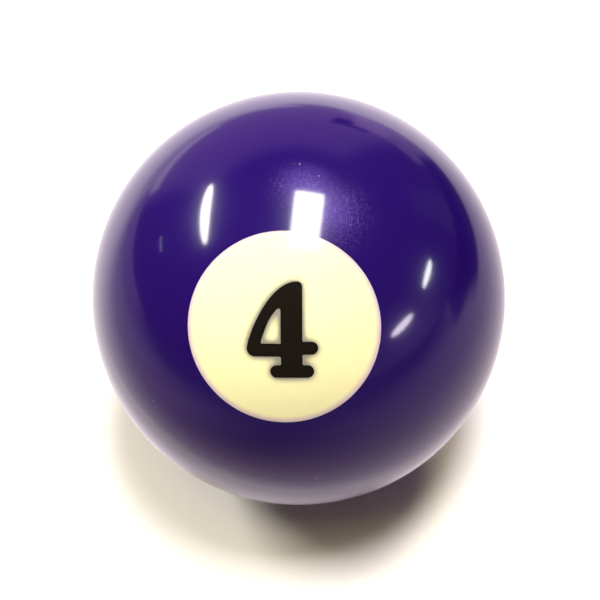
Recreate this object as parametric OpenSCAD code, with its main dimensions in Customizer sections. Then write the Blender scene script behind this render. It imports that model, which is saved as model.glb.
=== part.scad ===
// Numbered pool ball: a solid cast ball with an ivory disc set flush into each of two
// opposite poles, and a black numeral 4 set flush into each disc.
// Millimetres, +Z up, origin at the ball's centre. The number axis passes through both
// discs. It lies in the YZ plane, and its front end leans up from -Y.

/* [Ball] */
// Diameter of the finished ball
ball_d = 57.15; // [50:0.05:62]
// Angle of the number axis above the horizontal, in degrees
number_tilt = 45; // [0:1:90]

/* [Number discs] */
// Diameter of each disc where it meets the ball's surface
disc_d = 23.6; // [21:0.1:26]
// Depth of a disc's seat below the ball's surface, on the number axis
disc_depth = 6.5; // [5.5:0.1:9]
// Radius of the rounded edge around the seat's floor
seat_round = 1.2; // [0.4:0.1:1.5]

/* [Numeral] */
// Height of the numeral
numeral_h = 11.75; // [11:0.05:12.5]
// Width of the numeral's upright stem
stem_w = 2.6; // [2:0.1:2.6]
// Height of the numeral's crossbar and of its foot
bar_h = 1.6; // [1.2:0.05:1.7]
// Depth of the numeral below the ball's surface, on the number axis
numeral_depth = 3; // [2:0.1:4]

/* [Hidden] */
$fn = 128;

ball_r = ball_d / 2;
disc_r = disc_d / 2;
// Heights along the number axis, counted from the ball's centre
seat_floor = ball_r - disc_depth;
numeral_floor = ball_r - numeral_depth;
// How far a cutting solid stands out of the ball
proud = 1;

// The numeral is drawn about its own middle, x to the right and y up
top = numeral_h / 2;
left = -0.372 * numeral_h;
right = 0.364 * numeral_h;
stem_right = 0.203 * numeral_h;
stem_left = stem_right - stem_w;
// The crossbar's arm on the right sits a little higher than its long part on the left
arm_mid = -0.185 * numeral_h;
bar_mid = -0.205 * numeral_h;
arm_top = arm_mid + bar_h / 2;
arm_bottom = arm_mid - bar_h / 2;
bar_top = bar_mid + bar_h / 2;
bar_bottom = bar_mid - bar_h / 2;
foot_left = -0.132 * numeral_h;
foot_right = 0.319 * numeral_h;
foot_mid = bar_h / 2 - top;
foot_top = bar_h - top;

// Radii of its corners: crown at the top right, heel at the lower left, small inner fillets
crown_r = 0.054 * numeral_h;
heel_r = 0.08 * numeral_h;
fillet_r = 0.014 * numeral_h;
apex_r = 0.021 * numeral_h;
end_r = bar_h / 2;
// Centres of the rounded corners that the long curves run between
crown = [stem_right - crown_r, top - crown_r];
heel = [left + heel_r, bar_bottom + heel_r];
apex = [stem_left - apex_r, 0.205 * numeral_h];
nook = [-0.211 * numeral_h, bar_top + fillet_r];
// Directions in which the counter's long side leaves the apex and reaches the nook
apex_turn = 135;
nook_turn = 162;
// Lengths of the handles that shape the outer flank and the counter's long side
crown_pull = 0.306 * numeral_h;
heel_pull = 0.094 * numeral_h;
apex_pull = 0.13 * numeral_h;
nook_pull = 0.13 * numeral_h;

// An arc's chords stray from the true circle by no more than this
arc_error = 0.002;
curve_steps = 36;

function on_circle(centre, r, angle) = centre + r * [cos(angle), sin(angle)];
function heading(angle) = [-sin(angle), cos(angle)];
function arc_steps(r, turn) = ceil(abs(turn) / (2 * acos(1 - arc_error / r)));

// Points along an arc from one angle to another
function arc(centre, r, from, to) =
    let (steps = arc_steps(r, to - from))
    [for (i = [0:steps]) on_circle(centre, r, from + (to - from) * i / steps)];

function cubic(t, a, b, c, d) =
    pow(1 - t, 3) * a + 3 * pow(1 - t, 2) * t * b + 3 * (1 - t) * t * t * c + pow(t, 3) * d;

// Points between an arc that ends at p and an arc that begins at q, tangent to both
function curve(p, p_angle, p_pull, q, q_angle, q_pull) =
    let (b = p + p_pull * heading(p_angle), c = q - q_pull * heading(q_angle))
    [for (i = [1:curve_steps - 1]) cubic(i / curve_steps, p, b, c, q)];

// Outline of the numeral, anticlockwise from the crown
numeral_edge = concat(
    arc(crown, crown_r, 0, 90),
    curve(on_circle(crown, crown_r, 90), 90, crown_pull, on_circle(heel, heel_r, 180), 180, heel_pull),
    arc(heel, heel_r, 180, 270),
    arc([stem_left - fillet_r, bar_bottom - fillet_r], fillet_r, 90, 0),
    arc([stem_left - fillet_r, foot_top + fillet_r], fillet_r, 0, -90),
    arc([foot_left + end_r, foot_mid], end_r, 90, 270),
    arc([foot_right - end_r, foot_mid], end_r, -90, 90),
    arc([stem_right + fillet_r, foot_top + fillet_r], fillet_r, 270, 180),
    arc([stem_right + fillet_r, arm_bottom - fillet_r], fillet_r, 180, 90),
    arc([right - end_r, arm_mid], end_r, -90, 90),
    arc([stem_right + fillet_r, arm_top + fillet_r], fillet_r, 270, 180)
);

// Outline of the enclosed counter, anticlockwise from the apex
counter_edge = concat(
    arc(apex, apex_r, 0, apex_turn),
    curve(on_circle(apex, apex_r, apex_turn), apex_turn, apex_pull,
          on_circle(nook, fillet_r, nook_turn), nook_turn, nook_pull),
    arc(nook, fillet_r, nook_turn, 270),
    arc([stem_left - fillet_r, bar_top + fillet_r], fillet_r, 270, 360)
);

// Turns +Z to the front end of the number axis, and local y to the numeral's upright
module on_front() {
    rotate([90 - number_tilt, 0, 0]) children();
}

// The opposite pole: half a turn about X, so this numeral stands the other way up
module on_back() {
    rotate([180, 0, 0]) on_front() children();
}

module ball() {
    sphere(r = ball_r);
}

// Half section of the plug that fills a seat, from its floor to past the ball's surface
module seat_profile() {
    translate([0, seat_floor + seat_round])
        square([disc_r, disc_depth - seat_round + proud]);
    translate([0, seat_floor])
        square([disc_r - seat_round, seat_round]);
    translate([disc_r - seat_round, seat_floor + seat_round])
        circle(r = seat_round);
}

module seat_plug() {
    rotate_extrude() seat_profile();
}

module numeral_plug() {
    translate([0, 0, numeral_floor])
        linear_extrude(numeral_depth + proud)
            difference() {
                polygon(numeral_edge);
                polygon(counter_edge);
            }
}

module number_disc() {
    difference() {
        intersection() {
            ball();
            seat_plug();
        }
        numeral_plug();
    }
}

module numeral() {
    intersection() {
        ball();
        numeral_plug();
    }
}

module ball_body() {
    color([0.16, 0.07, 0.45])
        difference() {
            ball();
            on_front() seat_plug();
            on_back() seat_plug();
        }
}

module number_disc_front() {
    color([0.97, 0.95, 0.80]) on_front() number_disc();
}

module number_disc_back() {
    color([0.97, 0.95, 0.80]) on_back() number_disc();
}

module numeral_front() {
    color([0.07, 0.05, 0.05]) on_front() numeral();
}

module numeral_back() {
    color([0.07, 0.05, 0.05]) on_back() numeral();
}

ball_body();
number_disc_front();
number_disc_back();
numeral_front();
numeral_back();
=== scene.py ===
"""A numbered pool ball on a white table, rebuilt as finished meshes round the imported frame.

Lengths are in metres unless a name says otherwise. Every piece is a closed solid made in
mesh code: the purple ball with its two seats, the two ivory discs with their numeral-shaped
recesses, and the two black numerals that fill them.
"""
import math

import bpy
import numpy as np
from mathutils import Matrix, Vector
from mathutils.geometry import delaunay_2d_cdt


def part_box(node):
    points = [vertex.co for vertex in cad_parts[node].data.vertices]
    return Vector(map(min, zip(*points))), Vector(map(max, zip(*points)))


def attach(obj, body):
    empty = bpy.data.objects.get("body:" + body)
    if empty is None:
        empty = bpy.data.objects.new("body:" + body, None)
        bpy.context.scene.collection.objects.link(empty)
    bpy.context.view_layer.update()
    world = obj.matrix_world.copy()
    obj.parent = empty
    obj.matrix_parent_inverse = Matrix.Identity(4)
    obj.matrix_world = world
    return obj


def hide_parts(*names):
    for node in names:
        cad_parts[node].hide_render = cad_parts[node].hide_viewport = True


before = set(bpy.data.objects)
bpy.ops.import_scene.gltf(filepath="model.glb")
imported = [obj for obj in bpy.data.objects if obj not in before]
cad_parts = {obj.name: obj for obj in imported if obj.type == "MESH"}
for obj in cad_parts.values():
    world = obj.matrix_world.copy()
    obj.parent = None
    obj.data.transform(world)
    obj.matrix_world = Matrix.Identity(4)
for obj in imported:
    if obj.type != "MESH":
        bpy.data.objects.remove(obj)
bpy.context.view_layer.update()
MM = 0.001

# ---------------------------------------------------------------- sizes, read from the frame

BALL_LOW, BALL_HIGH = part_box("ball_body")
BALL_R = (BALL_HIGH.z - BALL_LOW.z) / 2
BALL_D = 2 * BALL_R
ENDS = ("front", "back")


def node_points(node):
    """A CAD node's vertices, as an array."""
    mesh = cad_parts[node].data
    points = np.empty(len(mesh.vertices) * 3)
    mesh.vertices.foreach_get("co", points)
    return points.reshape(-1, 3)


def number_axis(node):
    """The direction a disc faces: away from its flat floor, the largest plane face it has."""
    areas = {}
    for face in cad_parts[node].data.polygons:
        key = tuple(round(v, 3) for v in face.normal)
        areas[key] = areas.get(key, 0) + face.area
    return -Vector(max(areas, key=areas.get)).normalized()


def axes_of(end):
    """Rows are a disc's own right, up and outward directions, in the part's frame."""
    outward = number_axis("number_disc_" + end)
    right = Vector((1, 0, 0))
    up = outward.cross(right).normalized()
    return np.array([right, up, outward])


AXES = {end: axes_of(end) for end in ENDS}
# A CAD point this near to a flat floor lies on it
ON_FLAT = 0.001 * MM
DISC = node_points("number_disc_front") @ AXES["front"].T
NUMERAL = node_points("numeral_front") @ AXES["front"].T
DISC_R = np.hypot(DISC[:, 0], DISC[:, 1]).max()
SEAT_FLOOR = DISC[:, 2].min()
ON_FLOOR = DISC[:, 2] < SEAT_FLOOR + ON_FLAT
SEAT_ROUND = DISC_R - np.hypot(DISC[ON_FLOOR, 0], DISC[ON_FLOOR, 1]).max()
NUMERAL_FLOOR = NUMERAL[:, 2].min()


def numeral_loops():
    """The numeral's outline and its counter's, as closed loops of points on its flat floor."""
    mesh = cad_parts["numeral_front"].data
    flat = {i for i, p in enumerate(NUMERAL) if p[2] < NUMERAL_FLOOR + ON_FLAT}
    spot = {i: tuple(np.round(NUMERAL[i, :2] / MM, 4)) for i in flat}
    # A side that two faces share is inside the outline, so the second face takes it out again
    sides = set()
    for face in mesh.polygons:
        if all(v in flat for v in face.vertices):
            ring = [spot[v] for v in face.vertices]
            for a, b in zip(ring, ring[1:] + ring[:1]):
                if (b, a) in sides:
                    sides.remove((b, a))
                else:
                    sides.add((a, b))
    follow = dict(sides)
    loops = []
    while follow:
        start = min(follow)
        loop, here = [], start
        while here in follow:
            loop.append(here)
            here = follow.pop(here)
        loops.append(np.array(loop) * MM)
    return sorted(loops, key=len, reverse=True)


OUTLINE = numeral_loops()

# ---------------------------------------------------------------- mesh building

# Steps round a ring, from one rim to the other, down a seat's wall, round its corner and across its floor
RIM_STEPS = 320
BELT_STEPS = 150
WALL_STEPS = 3
ROUND_STEPS = 8
FLOOR_RINGS = 6
# Spacing of the points that fill a disc's dome, and how near a point may come to an edge
DOME_GRID = 0.30 * MM
EDGE_CLEAR = 0.12 * MM
# How far the black numeral takes light from the translucent ivory, which is painted as shade in the ivory's
# colour
INK_REACH = 0.55 * MM
# The places round a point at which the black is counted, set out as the seeds of a sunflower
INK_SAMPLES = 64
SEED_TURN = math.pi * (3 - math.sqrt(5))


def dome_height(x, y):
    return np.sqrt(BALL_R**2 - x**2 - y**2)


def ring(radius, height):
    turn = np.arange(RIM_STEPS) * 2 * math.pi / RIM_STEPS
    return np.column_stack([radius * np.cos(turn), radius * np.sin(turn), np.full(RIM_STEPS, height)])


def band(first, second, reverse=False):
    """Quads between two rings, given the index of each ring's first point."""
    quads = []
    for i in range(RIM_STEPS):
        j = (i + 1) % RIM_STEPS
        quad = [first + i, first + j, second + j, second + i]
        quads.append(quad[::-1] if reverse else quad)
    return quads


def seat_rings():
    """Radius and height of each ring from the rim, down the wall, round the corner and across the floor."""
    rim = dome_height(DISC_R, 0)
    rings = [(DISC_R, h) for h in np.linspace(rim, SEAT_FLOOR + SEAT_ROUND, WALL_STEPS + 1)[1:]]
    for i in range(1, ROUND_STEPS + 1):
        turn = math.pi / 2 * i / ROUND_STEPS
        radius = DISC_R - SEAT_ROUND * (1 - math.cos(turn))
        rings.append((radius, SEAT_FLOOR + SEAT_ROUND * (1 - math.sin(turn))))
    inner = rings[-1][0]
    rings += [(inner * (1 - i / FLOOR_RINGS), SEAT_FLOOR) for i in range(1, FLOOR_RINGS)]
    return rings


def make_mesh(name, points, faces, domed, axes=None):
    """A mesh object at the origin. Domed faces get the sphere's own normals, so reflections stay true."""
    points = np.asarray(points)
    if axes is not None:
        points = points @ axes
    mesh = bpy.data.meshes.new(name)
    mesh.from_pydata(points.tolist(), [], faces)
    mesh.validate()
    mesh.shade_smooth()
    normals = []
    for face, is_dome in zip(mesh.polygons, domed):
        for v in face.vertices:
            normals.append(mesh.vertices[v].co.normalized() if is_dome else face.normal)
    mesh.normals_split_custom_set([tuple(n) for n in normals])
    piece = bpy.data.objects.new(name, mesh)
    bpy.context.scene.collection.objects.link(piece)
    return piece


def seat_surface(points, faces, rim_start, reverse):
    """Adds the wall, rounded corner and floor of a seat or plug, from the rim's ring inwards."""
    last = rim_start
    for radius, height in seat_rings():
        here = len(points)
        points.extend(ring(radius, height).tolist())
        faces.extend(band(last, here, reverse))
        last = here
    centre = len(points)
    points.append([0, 0, SEAT_FLOOR])
    for i in range(RIM_STEPS):
        j = (i + 1) % RIM_STEPS
        faces.append([last + j, last + i, centre] if reverse else [last + i, last + j, centre])


def ball_mesh():
    """The ball: a belt of quads round the number axis, closed by a seat at each end."""
    points, faces = [], []
    tilt = math.asin(DISC_R / BALL_R)
    for turn in np.linspace(tilt, math.pi - tilt, BELT_STEPS + 1):
        points.extend(ring(BALL_R * math.sin(turn), BALL_R * math.cos(turn)).tolist())
    for i in range(BELT_STEPS):
        faces.extend(band(i * RIM_STEPS, (i + 1) * RIM_STEPS, reverse=True))
    belt_faces = len(faces)
    seat_surface(points, faces, 0, reverse=False)
    # The back seat is the front one turned half round about X
    back_points, back_faces = [], []
    far_rim = BELT_STEPS * RIM_STEPS
    seat_surface(back_points, back_faces, -RIM_STEPS, reverse=False)
    shift = len(points)
    mirror = [(RIM_STEPS - i) % RIM_STEPS for i in range(RIM_STEPS)]
    points.extend([[x, -y, -z] for x, y, z in back_points])
    for face in back_faces:
        faces.append([far_rim + mirror[v + RIM_STEPS] if v < 0 else shift + v for v in face])
    domed = [i < belt_faces for i in range(len(faces))]
    return make_mesh("purple_ball", points, faces, domed, AXES["front"])


def inside(points, loop):
    """True for each point within a closed loop, by counting crossings to its right."""
    hit = np.zeros(len(points), bool)
    x, y = points[:, 0], points[:, 1]
    for (ax, ay), (bx, by) in zip(loop, np.roll(loop, -1, axis=0)):
        if ay == by:
            continue
        crosses = (ay > y) != (by > y)
        hit ^= crosses & (x < ax + (y - ay) * (bx - ax) / (by - ay))
    return hit


def gap_to(points, loop):
    """Each point's distance to the nearest side of a closed loop."""
    best = np.full(len(points), np.inf)
    for a, b in zip(loop, np.roll(loop, -1, axis=0)):
        side = b - a
        t = np.clip((points - a) @ side / max(side @ side, 1e-18), 0, 1)
        best = np.minimum(best, np.hypot(*(points - a - t[:, None] * side).T))
    return best


def dome_net():
    """One triangle net over a whole disc that follows the numeral's outline.

    Returns its points, the triangles of the ivory part, those of the numeral, and the
    outline loops as indices into the points.
    """
    rim = ring(DISC_R, 0)[:, :2]
    rows = int(DISC_R / (DOME_GRID * math.sqrt(3) / 2)) + 1
    grid = []
    for j in range(-rows, rows + 1):
        for i in range(-rows - 2, rows + 3):
            grid.append(((i + 0.5 * (j % 2)) * DOME_GRID, j * DOME_GRID * math.sqrt(3) / 2))
    grid = np.array(grid)
    keep = np.hypot(*grid.T) < DISC_R - EDGE_CLEAR
    for loop in OUTLINE:
        keep &= gap_to(grid, loop) > EDGE_CLEAR
    edges, start = [], 0
    for loop in [rim, *OUTLINE]:
        edges += [(start + i, start + (i + 1) % len(loop)) for i in range(len(loop))]
        start += len(loop)
    given = np.vstack([rim, *OUTLINE, grid[keep]])
    scale = 1 / MM
    spots, _, triangles, *_ = delaunay_2d_cdt([Vector(p * scale) for p in given], edges, [], 0, 1e-6, False)
    net = np.array([tuple(s) for s in spots]) / scale
    if len(net) != len(given):
        raise RuntimeError("the numeral's outline crosses itself")
    middles = np.array([net[list(t)].mean(axis=0) for t in triangles])
    numeral = inside(middles, OUTLINE[0])
    for loop in OUTLINE[1:]:
        numeral &= ~inside(middles, loop)
    loops, start = [], len(rim)
    for loop in OUTLINE:
        loops.append(list(range(start, start + len(loop))))
        start += len(loop)
    ivory = [list(t) for t, n in zip(triangles, numeral) if not n]
    black = [list(t) for t, n in zip(triangles, numeral) if n]
    return net, ivory, black, loops


def facing_up(net, triangle):
    a, b, c = (net[i] for i in triangle)
    return (b[0] - a[0]) * (c[1] - a[1]) - (b[1] - a[1]) * (c[0] - a[0]) > 0


def compact(points, faces):
    """Drops the points that no face uses, and says which ones were kept."""
    used = sorted({v for f in faces for v in f})
    new = {v: i for i, v in enumerate(used)}
    return [points[v] for v in used], [[new[v] for v in f] for f in faces], used


def painted_ink_shade(net):
    """How much of the ivory's near surroundings is black, for each point of the net, which sets how much
    painted shade the ivory gets there.
    """
    k = np.arange(INK_SAMPLES)
    reach = INK_REACH * np.sqrt(-2 * np.log(1 - (k + 0.5) / INK_SAMPLES))
    turn = k * SEED_TURN
    offsets = np.column_stack([reach * np.cos(turn), reach * np.sin(turn)])
    near = np.flatnonzero(gap_to(net, OUTLINE[0]) < 3 * INK_REACH)
    near = np.union1d(near, np.flatnonzero(inside(net, OUTLINE[0])))
    spots = (net[near, None, :] + offsets[None]).reshape(-1, 2)
    black = inside(spots, OUTLINE[0])
    for loop in OUTLINE[1:]:
        black &= ~inside(spots, loop)
    share = np.zeros(len(net))
    share[near] = black.reshape(len(near), INK_SAMPLES).mean(axis=1)
    return share


def pocket(points, faces, net, triangles, loops, outward):
    """Adds the numeral's upright sides and flat floor, seen from the pocket or from the numeral."""
    floor = {}
    for v in sorted({v for t in triangles for v in t}):
        floor[v] = len(points)
        points.append([net[v][0], net[v][1], NUMERAL_FLOOR])
    for t in triangles:
        up = facing_up(net, t)
        corners = [floor[v] for v in t]
        faces.append(corners if up != outward else corners[::-1])
    middle_of = {}
    for t in triangles:
        for a, b in zip(t, t[1:] + t[:1]):
            middle_of[frozenset((a, b))] = (a, b) if facing_up(net, t) else (b, a)
    for loop in loops:
        for a, b in zip(loop, loop[1:] + loop[:1]):
            a, b = middle_of[frozenset((a, b))]
            # (a, b) runs anticlockwise round the black, so the black lies on its left
            side = [b, a, floor[a], floor[b]]
            faces.append(side if outward else side[::-1])


def disc_and_numeral(end, net, ivory, black, loops, ink):
    """The ivory disc and the black numeral at one end of the number axis."""
    heights = dome_height(net[:, 0], net[:, 1])
    top = [[x, y, z] for (x, y), z in zip(net, heights)]

    points = list(top)
    faces = [t if facing_up(net, t) else t[::-1] for t in ivory]
    domes = len(faces)
    pocket(points, faces, net, black, loops, outward=False)
    seat_surface(points, faces, 0, reverse=True)
    points, faces, used = compact(points, faces)
    domed = [i < domes for i in range(len(faces))]
    disc = make_mesh(f"ivory_disc_{end}", points, faces, domed, AXES[end])
    # Stores the share of black near each point, which the ivory's painted shade reads
    shade = disc.data.attributes.new("painted_ink_shade", "FLOAT", "POINT")
    shade.data.foreach_set("value", [ink[v] if v < len(ink) else 0.0 for v in used])

    points = list(top)
    faces = [t if facing_up(net, t) else t[::-1] for t in black]
    domes = len(faces)
    pocket(points, faces, net, black, loops, outward=True)
    points, faces, _ = compact(points, faces)
    domed = [i < domes for i in range(len(faces))]
    numeral = make_mesh(f"black_numeral_{end}", points, faces, domed, AXES[end])
    return disc, numeral


# ---------------------------------------------------------------- materials


class Nodes:
    """A short way to write a node tree."""

    def __init__(self, tree):
        self.tree = tree

    def add(self, kind, **values):
        node = self.tree.nodes.new(kind)
        for key, value in values.items():
            setattr(node, key, value)
        return node

    def feed(self, node, socket, value):
        target = node.inputs[socket]
        if isinstance(value, bpy.types.NodeSocket):
            self.tree.links.new(value, target)
        else:
            target.default_value = value

    def math(self, operation, *values):
        node = self.add("ShaderNodeMath", operation=operation)
        for i, value in enumerate(values):
            self.feed(node, i, value)
        return node.outputs[0]

    def vector(self, operation, *values):
        node = self.add("ShaderNodeVectorMath", operation=operation)
        for i, value in enumerate(values):
            self.feed(node, i, value)
        return node.outputs["Value" if operation in ("DOT_PRODUCT", "DISTANCE", "LENGTH") else "Vector"]

    def noise(self, where, scale, detail):
        node = self.add("ShaderNodeTexNoise")
        for socket, value in (("Vector", where), ("Scale", scale), ("Detail", detail)):
            self.feed(node, socket, value)
        return node.outputs["Fac"]

    def fade(self, value, low, high, first=0.0, last=1.0):
        """Goes smoothly from the first to the last number as the value goes from low to high."""
        node = self.add("ShaderNodeMapRange", interpolation_type="SMOOTHSTEP")
        self.feed(node, "Value", value)
        for socket, v in (("From Min", low), ("From Max", high), ("To Min", first), ("To Max", last)):
            self.feed(node, socket, v)
        return node.outputs["Result"]

    def product(self, *values):
        total = values[0]
        for value in values[1:]:
            total = self.math("MULTIPLY", total, value)
        return total

    def combine(self, *values):
        node = self.add("ShaderNodeCombineXYZ")
        for i, value in enumerate(values):
            self.feed(node, i, value)
        return node.outputs[0]

    def mix(self, factor, a, b):
        """Mixes two colours."""
        node = self.add("ShaderNodeMix", data_type="RGBA")
        self.feed(node, 0, factor)
        self.feed(node, 6, a)
        self.feed(node, 7, b)
        return node.outputs[2]

    def shader_mix(self, factor, a, b):
        """Mixes two shaders, given as nodes."""
        node = self.add("ShaderNodeMixShader")
        self.feed(node, 0, factor)
        self.feed(node, 1, a.outputs[0])
        self.feed(node, 2, b.outputs[0])
        return node


def new_material(name):
    material = bpy.data.materials.new(name)
    material.use_nodes = True
    nodes = Nodes(material.node_tree)
    shader = material.node_tree.nodes["Principled BSDF"]
    return material, nodes, shader


def polish(shader):
    """The polished skin all the resins share: a sharp gloss under a faint, wide haze."""
    for socket, value in (
        ("IOR", 1.5),
        ("Roughness", 0.09),
        ("Coat Weight", 0.22),
        ("Coat Roughness", 0.25),
        ("Coat IOR", 1.5),
    ):
        shader.inputs[socket].default_value = value


# Base colours
PURPLE = (0.0124, 0.0021, 0.096, 1)
PALE_MARK_AND_GLINT = (0.5, 0.42, 0.6, 1)
WEAR_AND_HAZE_PURPLE = (0.24, 0.17, 0.42, 1)
IVORY = (0.868, 0.862, 0.545, 1)
INK_SHADED_IVORY = (0.30, 0.29, 0.25, 1)
EDGE_IVORY = (0.71, 0.58, 0.60, 1)
BLACK = (0.007, 0.0055, 0.0035, 1)

# Pale pinpricks and a scratch in the purple, and two painted glints just above the main highlight, as
# directions from the ball's centre, with their radius in mm
PINPRICKS_AND_GLINTS = (
    (-0.605, -0.760, 0.238, 0.14),
    (-0.599, -0.773, 0.210, 0.12),
    (0.661, -0.747, 0.074, 0.16),
    (0.121, -0.992, -0.023, 0.16),
    (0.128, -0.991, -0.012, 0.12),
    # The last two are painted glints: pale spots that stand for sparkles of the lamp overhead, just above
    # its highlight
    (0.060, -0.029, 0.998, 0.17),
    (0.144, -0.088, 0.986, 0.14),
)
# How strongly a pinprick or a painted glint shows
PRICK_AND_GLINT_SHARE = 0.35
# The two worn patches beside the main highlight, given the same way, and how far they pale the purple at
# their middles. The paling is partly real wear and partly painted highlight haze, the lamp's glare in the
# hairlines
WORN_HAZE_PATCHES = ((0.21, -0.26, 0.942, 7.0), (0.07, -0.16, 0.985, 5.5))
WEAR_AND_HAZE = 0.15
# Each kind of wear and painted haze: how many marks fit in a metre along x, y and z, and how strongly they
# show. The first is an even mottle, the second has lines along y, and the third has lines along x
HAIRLINE_WEAR_AND_HAZE = (((3200, 3200, 3200), 0.6), ((8000, 1100, 2500), 1.0), ((1300, 7000, 2500), 0.7))


def spot_gap(nodes, where, direction):
    """The distance to the spot on the ball's surface that lies in a direction."""
    return nodes.vector("DISTANCE", where, tuple(Vector(direction).normalized() * BALL_R))


def hairline_wear_and_haze(nodes, where):
    """How much hairline wear and painted highlight haze, in crossing directions, there is at each place in
    the worn patches.
    """
    total = None
    for marks_per_metre, depth in HAIRLINE_WEAR_AND_HAZE:
        streaks = nodes.noise(nodes.vector("MULTIPLY", where, marks_per_metre), 1.0, detail=1.0)
        streaks = nodes.math("MULTIPLY", nodes.fade(streaks, 0.5, 0.75), depth)
        total = streaks if total is None else nodes.math("ADD", total, streaks)
    wear_and_haze_share = None
    for x, y, z, radius in WORN_HAZE_PATCHES:
        gap = spot_gap(nodes, where, (x, y, z))
        patch = nodes.fade(gap, 0.1 * radius * MM, radius * MM, WEAR_AND_HAZE, 0.0)
        wear_and_haze_share = patch if wear_and_haze_share is None else nodes.math("MAXIMUM", wear_and_haze_share, patch)
    return nodes.math("MULTIPLY", total, wear_and_haze_share)


def purple_resin():
    """The ball's purple, with its pale pinpricks, two painted glints, and worn patches that also carry
    painted highlight haze.
    """
    material, nodes, shader = new_material("purple_resin")
    polish(shader)
    where = nodes.add("ShaderNodeTexCoord").outputs["Object"]
    colour = PURPLE
    # Each pale spot is a pinprick or a scratch, save the last two, which are painted glints
    for x, y, z, radius in PINPRICKS_AND_GLINTS:
        gap = spot_gap(nodes, where, (x, y, z))
        share = nodes.fade(gap, 0.4 * radius * MM, radius * MM, PRICK_AND_GLINT_SHARE, 0.0)
        colour = nodes.mix(share, colour, PALE_MARK_AND_GLINT)
    # Painted highlight haze on real wear: the hairlines beside the main highlight are paled to lavender as
    # if lit by the lamp overhead
    colour = nodes.mix(hairline_wear_and_haze(nodes, where), colour, WEAR_AND_HAZE_PURPLE)
    nodes.feed(shader, "Base Color", colour)
    return material


def ivory_resin():
    """Translucent ivory, with painted shade beside the ink for the light the black takes from it, and mauve
    where it thins out at the disc's edge.
    """
    material, nodes, shader = new_material("ivory_resin")
    polish(shader)
    where = nodes.add("ShaderNodeTexCoord").outputs["Object"]
    # Both discs lie on one axis, so the distance to it is the distance from either disc's middle
    axis = tuple(AXES["front"][2])
    along = nodes.vector("DOT_PRODUCT", where, axis)
    on_axis = nodes.add("ShaderNodeVectorMath", operation="SCALE")
    nodes.feed(on_axis, 0, axis)
    nodes.feed(on_axis, "Scale", along)
    out = nodes.vector("DISTANCE", where, on_axis.outputs[0])
    ink = nodes.add("ShaderNodeAttribute", attribute_name="painted_ink_shade").outputs["Fac"]
    # Painted shade: the ivory greys where black lies near, in the counter and inner corners, for the light
    # the numeral takes from it
    colour = nodes.mix(nodes.fade(ink, 0.0, 0.5), IVORY, INK_SHADED_IVORY)
    edge = nodes.fade(out, DISC_R - 0.9 * MM, DISC_R - 0.1 * MM)
    colour = nodes.mix(edge, colour, EDGE_IVORY)
    nodes.feed(shader, "Base Color", colour)
    shader.inputs["Subsurface Weight"].default_value = 0.8
    shader.inputs["Subsurface Radius"].default_value = (1.0, 0.8, 0.5)
    shader.inputs["Subsurface Scale"].default_value = 1.0 * MM
    return material


def black_resin():
    material, nodes, shader = new_material("black_resin")
    polish(shader)
    shader.inputs["Base Color"].default_value = BLACK
    return material


# ---------------------------------------------------------------- the object

ball = ball_mesh()
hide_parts("ball_body")
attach(ball, "root")
ball.data.materials.append(purple_resin())

IVORY_RESIN = ivory_resin()
BLACK_RESIN = black_resin()
NET = dome_net()
# The share of black near each point of the net, for the painted shade beside the numeral
INK_SHADE = painted_ink_shade(NET[0])
for end in ENDS:
    disc, numeral = disc_and_numeral(end, *NET, INK_SHADE)
    for piece, node, slot, material in (
        (disc, "number_disc_" + end, "ivory_resin", IVORY_RESIN),
        (numeral, "numeral_" + end, "black_resin", BLACK_RESIN),
    ):
        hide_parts(node)
        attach(piece, "root")
        piece.data.materials.append(material)

# ---------------------------------------------------------------- camera

CAMERA_AZIMUTH = math.radians(6.55)
CAMERA_ELEVATION = math.radians(52.7)
CAMERA_ROLL = math.radians(5.1)
CAMERA_DISTANCE = 3.5 * BALL_D
SENSOR = 36.0
# The ball fills this fraction of the picture's width
BALL_FILL = 0.6894
# How far the view's middle lies from the ball's centre, as seen by the camera
FRAMING_RIGHT = 0.18 * MM
FRAMING_DOWN = 0.27 * MM


def make_camera():
    """A camera that looks down at the ball from just right of the front, rolled a little."""
    data = bpy.data.cameras.new("camera")
    camera = bpy.data.objects.new("camera", data)
    bpy.context.scene.collection.objects.link(camera)
    level = math.cos(CAMERA_ELEVATION)
    across, towards = math.sin(CAMERA_AZIMUTH), math.cos(CAMERA_AZIMUTH)
    back = Vector((level * across, -level * towards, math.sin(CAMERA_ELEVATION)))
    turn = (-back).to_track_quat("-Z", "Y").to_matrix()
    right, up = turn.col[0].copy(), turn.col[1].copy()
    cos, sin = math.cos(CAMERA_ROLL), math.sin(CAMERA_ROLL)
    right, up = right * cos - up * sin, up * cos + right * sin
    target = right * FRAMING_RIGHT - up * FRAMING_DOWN
    place = back * CAMERA_DISTANCE
    look = (target - place).normalized()
    right = look.cross(up).normalized()
    up = right.cross(look)
    camera.matrix_world = Matrix((
        (right.x, up.x, -look.x, place.x),
        (right.y, up.y, -look.y, place.y),
        (right.z, up.z, -look.z, place.z),
        (0, 0, 0, 1),
    ))
    rim = math.tan(math.asin(BALL_R / CAMERA_DISTANCE))
    data.sensor_width = SENSOR
    data.lens = SENSOR * BALL_FILL / 2 / rim
    data.clip_start = 0.01
    bpy.context.scene.camera = camera


make_camera()

# ---------------------------------------------------------------- table, room and lights

# The table reaches this far each way, and the sheet that stands in for its light lies this far above it
TABLE_REACH = 3.0
SHEET_LIFT = 0.3 * MM
CEILING = 1.9
# The gloss and the haze both mirror the surroundings, so these are set this much dimmer
MIRROR = 0.9
# The table's own glow, and the distances from the ball over which it sets in
TABLE_GLOW = 0.9
GLOW_STARTS_ENDS = (0.4, 1.2)
PAPER = (0.97, 0.97, 0.96, 1)
TABLE_WHITE = (0.87, 0.86, 0.885, 1)
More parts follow.
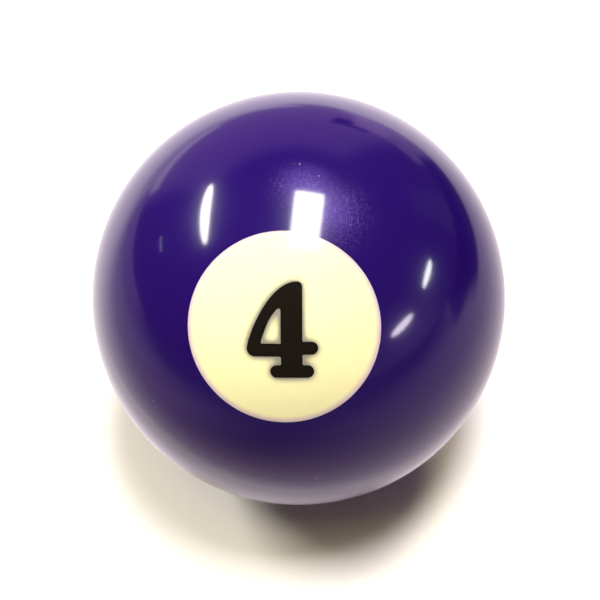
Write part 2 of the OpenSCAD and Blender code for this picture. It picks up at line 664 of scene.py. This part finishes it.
# The sheet's clear part dims and tints what the ball sees through it
SHEET_TINT = (0.78, 0.76, 0.79, 1)
MAUVE = (0.93, 0.60, 1.0)


def flat_quad(name, height):
    """A level square of the table's size."""
    mesh = bpy.data.meshes.new(name)
    corners = [(-1, -1), (1, -1), (1, 1), (-1, 1)]
    points = [(x * TABLE_REACH, y * TABLE_REACH, height) for x, y in corners]
    mesh.from_pydata(points, [], [(0, 1, 2, 3)])
    quad = bpy.data.objects.new(name, mesh)
    bpy.context.scene.collection.objects.link(quad)
    return quad


def make_table():
    """A white table top. Far off it glows, so that it stays as overexposed as it is near the ball."""
    table = flat_quad("table_top", -BALL_R)
    material, nodes, shader = new_material("table_white")
    shader.inputs["Base Color"].default_value = TABLE_WHITE
    shader.inputs["Roughness"].default_value = 0.8
    shader.inputs["Specular IOR Level"].default_value = 0.2
    shader.inputs["Emission Color"].default_value = (1, 1, 1, 1)
    position = nodes.add("ShaderNodeNewGeometry").outputs["Position"]
    glow = nodes.fade(nodes.vector("LENGTH", position), *GLOW_STARTS_ENDS, 0.0, TABLE_GLOW)
    nodes.feed(shader, "Emission Strength", glow)
    material.cycles.emission_sampling = "NONE"
    table.data.materials.append(material)


def past_the_edge(nodes, x, y):
    """1 where the photographed table has ended, at the back right and far behind, and 0 on the table."""
    right_edge = nodes.product(nodes.fade(y, 0.1, 2.1), nodes.fade(x, 4.4, 5.2))
    far_edge = nodes.product(nodes.fade(y, 15.0, 26.0), nodes.fade(x, -6.0, 0.0))
    return nodes.math("MAXIMUM", right_edge, far_edge)


def table_light(nodes, x, y, past_edge):
    """How bright the table is: lit by a window from behind, and dim in front and off to the sides."""
    left = nodes.fade(nodes.math("ADD", x, y), -4.55, -1.5)
    right = nodes.fade(nodes.math("MULTIPLY_ADD", y, 0.38, nodes.math("MULTIPLY", x, -1.0)), -3.64, 0.22)
    ahead = nodes.math("MULTIPLY", nodes.math("ADD", y, -0.17), -1 / 1.56)
    fall = nodes.math("POWER", nodes.math("MAXIMUM", ahead, 0.0), 3.55)
    front = nodes.math("DIVIDE", 1.0, nodes.math("ADD", fall, 1.0))
    window = nodes.product(left, right, front)
    side = nodes.fade(nodes.math("ABSOLUTE", nodes.math("ADD", x, 0.45)), -0.19, 2.9)
    dim = nodes.math("MULTIPLY_ADD", nodes.product(side, nodes.fade(y, -7.2, 2.0)), 0.54, 0.14)
    level = nodes.math("ADD", dim, nodes.product(window, nodes.math("SUBTRACT", 1.42, dim)))
    sideways = nodes.fade(nodes.math("ABSOLUTE", x), 4.5, 12.0, 1.0, 0.6)
    far_right = nodes.product(nodes.fade(y, -1.4, -0.2), nodes.fade(x, 5.8, 8.5))
    on_table = nodes.math("SUBTRACT", 1.0, past_edge)
    return nodes.product(level, sideways, on_table, nodes.math("MULTIPLY_ADD", far_right, -0.85, 1.0))


def table_colour(nodes, level):
    """The table's light, with some pink in its dimmer parts."""
    pink = nodes.fade(level, 0.0, 0.5, 0.0, 0.195)
    blue_share = nodes.fade(level, 0.5, 1.3, 0.75, 0.4)
    return nodes.combine(
        nodes.math("ADD", level, pink), level, nodes.math("MULTIPLY_ADD", pink, blue_share, level)
    )


def mauve_shape(nodes, x, y, past_edge):
    """A mauve shape past the table's edge, straight behind, which grows dimmer towards the right."""
    slant = nodes.math("DIVIDE", x, nodes.math("MAXIMUM", y, 0.01))
    strength = nodes.math("MAXIMUM", nodes.math("MULTIPLY_ADD", slant, -1.55, 1.42), 0.0)
    right_end = nodes.fade(slant, 0.58, 0.68, 1.0, 0.0)
    left_part = nodes.fade(slant, 0.1, 0.22, 0.5, 1.0)
    strength = nodes.product(strength, past_edge, right_end, left_part)
    return nodes.vector("MULTIPLY", nodes.combine(strength, strength, strength), MAUVE)


def sheet_opacity(nodes, spot, x, y):
    """0 near the ball, save for what its rim catches from in front and the sides, and 1 farther off."""
    away = nodes.vector("DISTANCE", spot, (-0.4, 0.5, -1.0))
    aside = nodes.math("ABSOLUTE", nodes.math("ADD", x, 0.12))
    front = nodes.fade(y, -0.95, -0.52, 0.62, 0.0)
    rim = nodes.math("MAXIMUM", front, nodes.fade(aside, 0.32, 0.82, 0.0, 0.8))
    rim = nodes.product(rim, nodes.fade(away, 1.5, 1.95, 1.0, 0.0))
    return nodes.math("MAXIMUM", nodes.fade(away, 1.5, 1.95), rim)


def make_mirrored_table():
    """The light the ball gets back from the table, as a sheet that the camera does not see.

    Near the ball it is mostly clear, so the real table and its shadow show, and its underside
    is clear everywhere. The numbers in its light and opacity are in ball radii.
    """
    sheet = flat_quad("mirrored_table", -BALL_R + SHEET_LIFT)
    for kind in ("camera", "shadow", "transmission"):
        setattr(sheet, "visible_" + kind, False)
    material = bpy.data.materials.new("mirrored_table")
    material.use_nodes = True
    material.node_tree.nodes.clear()
    nodes = Nodes(material.node_tree)
    geometry = nodes.add("ShaderNodeNewGeometry").outputs
    spot = nodes.vector("DIVIDE", geometry["Position"], (BALL_R, BALL_R, BALL_R))
    place = nodes.add("ShaderNodeSeparateXYZ")
    nodes.feed(place, 0, spot)
    x, y = place.outputs[0], place.outputs[1]
    past_edge = past_the_edge(nodes, x, y)
    light = table_colour(nodes, table_light(nodes, x, y, past_edge))
    glow = nodes.add("ShaderNodeEmission")
    nodes.feed(glow, "Color", nodes.vector("ADD", light, mauve_shape(nodes, x, y, past_edge)))
    nodes.feed(glow, "Strength", MIRROR)
    tinted = nodes.add("ShaderNodeBsdfTransparent")
    tinted.inputs["Color"].default_value = SHEET_TINT
    above = nodes.shader_mix(sheet_opacity(nodes, spot, x, y), tinted, glow)
    clear = nodes.add("ShaderNodeBsdfTransparent")
    sides = nodes.shader_mix(geometry["Backfacing"], above, clear)
    nodes.feed(nodes.add("ShaderNodeOutputMaterial"), "Surface", sides.outputs[0])
    material.cycles.emission_sampling = "NONE"
    sheet.data.materials.append(material)


def make_low_fill():
    """A soft light low in front, which the ball doesn't mirror."""
    data = bpy.data.lights.new("fill_low", "AREA")
    data.shape = "DISK"
    data.size = 0.3
    data.color = (1.08, 0.92, 0.52)
    data.energy = 4.2
    lamp = bpy.data.objects.new("fill_low", data)
    lamp.location = (0.1, -1.2, 0.13)
    lamp.rotation_euler = lamp.location.to_track_quat("Z", "Y").to_euler()
    lamp.visible_camera = False
    lamp.visible_glossy = False
    bpy.context.scene.collection.objects.link(lamp)


# Flat lamps on the ceiling: name, x, y, width, length, radiance, turn in degrees, shape, tint and use. The
# ball mirrors a light and a glint but not a fill, and a glint lights nothing
CEILING_LAMPS = (
    ("lamp_over", 0.23, 0.2, 0.49, 1.06, 26.5, -3, "RECTANGLE", (1.02, 0.98, 0.95), "glint"),
    ("fill_over", 0.23, 0.03, 0.49, 0.65, 43, -3, "RECTANGLE", (1.02, 0.98, 0.95), "fill"),
    ("lamp_left", -1.87, 0.8, 0.34, 1.62, 26, -1, "ELLIPSE", (1.02, 0.98, 0.88), "light"),
    ("fill_left", -1.892, 0.776, 0.4, 1.6, 26, 0, "RECTANGLE", (1.04, 1.0, 0.78), "fill"),
    ("lamp_far_left", -5.42, 1.22, 0.2, 0.7, 4, 0, "RECTANGLE", (1, 1, 1), "glint"),
    ("lamp_right_near", 6.67, 0.09, 1.3, 1.7, 18, 14, "ELLIPSE", (1, 1, 1), "glint"),
    ("lamp_right_far", 7.06, -3.7, 2.2, 2.2, 13, 6, "ELLIPSE", (1.05, 0.95, 1.05), "glint"),
    ("fill_back", 0.8, 0.8, 0.45, 0.45, 30, 0, "RECTANGLE", (1.06, 0.95, 0.52), "fill"),
    ("fill_front", -0.2, -0.5, 0.7, 0.7, 4.8, 0, "RECTANGLE", (1.08, 0.95, 0.46), "fill"),
)


def make_ceiling_lamp(name, x, y, width, length, radiance, turn, shape, tint, use):
    """A flat lamp facing down."""
    data = bpy.data.lights.new(name, "AREA")
    data.shape = shape
    data.color = tint
    data.size, data.size_y = width, length
    data.energy = radiance * math.pi * width * length
    lamp = bpy.data.objects.new(name, data)
    lamp.location = (x, y, CEILING)
    lamp.rotation_euler.z = math.radians(turn)
    lamp.visible_camera = False
    lamp.visible_glossy = use != "fill"
    lamp.visible_diffuse = use != "glint"
    bpy.context.scene.collection.objects.link(lamp)


# What the room holds, from back to front. Each is a colour, the bearings and heights that it spans, how soft
# its edges are, all in degrees, and how much it sinks per degree of bearing, counted from which bearing
ROOM_PATCHES = (
    ((0.56, 0.33, 0.58), (-52, 24), (-40, 39), 7.0, (0.0, 0.0)),
    ((0.28, 0.22, 0.25), (95, 155), (-20, 20), 8.0, (0.0, 0.0)),
    ((0.13, 0.12, 0.12), (48, 62), (-3, 24), 3.0, (0.0, 0.0)),
    ((0.56, 0.36, 0.60), (20, 35), (-20, 8.0), 1.5, (0.2, 16.0)),
    ((0.93, 0.60, 1.0), (12, 23), (-20, 8.0), 1.3, (0.2, 16.0)),
    ((0.02, 0.0, 0.02), (8, 19), (9.0, 11.5), 0.8, (0.2, 16.0)),
    ((0.02, 0.0, 0.02), (8, 13.5), (4.5, 11.5), 1.0, (0.2, 16.0)),
    ((1.60, 1.30, 1.50), (-50, -22), (-20, 1.5), 1.5, (0.15, -27.0)),
)
ROOM_DIM = (0.06, 0.05, 0.05, 1)
# Soft lavender light beside the lamp overhead: directions, and how far each one reaches from its middle
GLOWS = ((0.283, 0.205, 0.937, 0.36), (0.086, 0.430, 0.899, 0.30))
LAVENDER = (2.1, 1.1, 5.0, 1)
# What the room adds to the light on every surface
ROOM_LIGHT = (0.032, 0.014, 0.001, 1)


def soft_patch(nodes, spans, soft):
    """1 where each value is within its span, 0 outside, with soft edges."""
    steps = []
    for value, (start, stop) in spans:
        steps.append(nodes.fade(value, start - soft, start + soft))
        steps.append(nodes.fade(value, stop - soft, stop + soft, 1.0, 0.0))
    return nodes.product(*steps)


def make_room():
    """A dim room to mirror, by compass bearing and height. The camera itself sees pale paper."""
    world = bpy.data.worlds.new("room")
    bpy.context.scene.world = world
    world.use_nodes = True
    nodes = Nodes(world.node_tree)
    background = world.node_tree.nodes["Background"]
    way = nodes.add("ShaderNodeTexCoord").outputs["Generated"]
    parts = nodes.add("ShaderNodeSeparateXYZ")
    nodes.feed(parts, 0, way)
    bearing = nodes.math("DEGREES", nodes.math("ARCTAN2", parts.outputs[0], parts.outputs[1]))
    height = nodes.math("DEGREES", nodes.math("ARCSINE", parts.outputs[2]))
    room = ROOM_DIM
    for colour, bearings, heights, soft, (slope, level_at) in ROOM_PATCHES:
        level = nodes.math("MULTIPLY_ADD", nodes.math("ADD", bearing, -level_at), slope, height)
        share = soft_patch(nodes, ((bearing, bearings), (level, heights)), soft)
        room = nodes.mix(share, room, (*colour, 1))
    for x, y, z, reach in GLOWS:
        gap = nodes.vector("DISTANCE", way, (x, y, z))
        room = nodes.mix(nodes.fade(gap, 0.0, reach, 1.0, 0.0), room, LAVENDER)
    rays = nodes.add("ShaderNodeLightPath").outputs
    room = nodes.mix(rays["Is Diffuse Ray"], room, ROOM_LIGHT)
    full = nodes.math("MULTIPLY", rays["Is Camera Ray"], 1 - MIRROR)
    nodes.feed(background, "Strength", nodes.math("ADD", MIRROR, full))
    nodes.feed(background, "Color", nodes.mix(rays["Is Camera Ray"], room, PAPER))


make_table()
make_mirrored_table()
make_room()
make_low_fill()
for lamp in CEILING_LAMPS:
    make_ceiling_lamp(*lamp)

bpy.context.scene.view_settings.view_transform = "Standard"
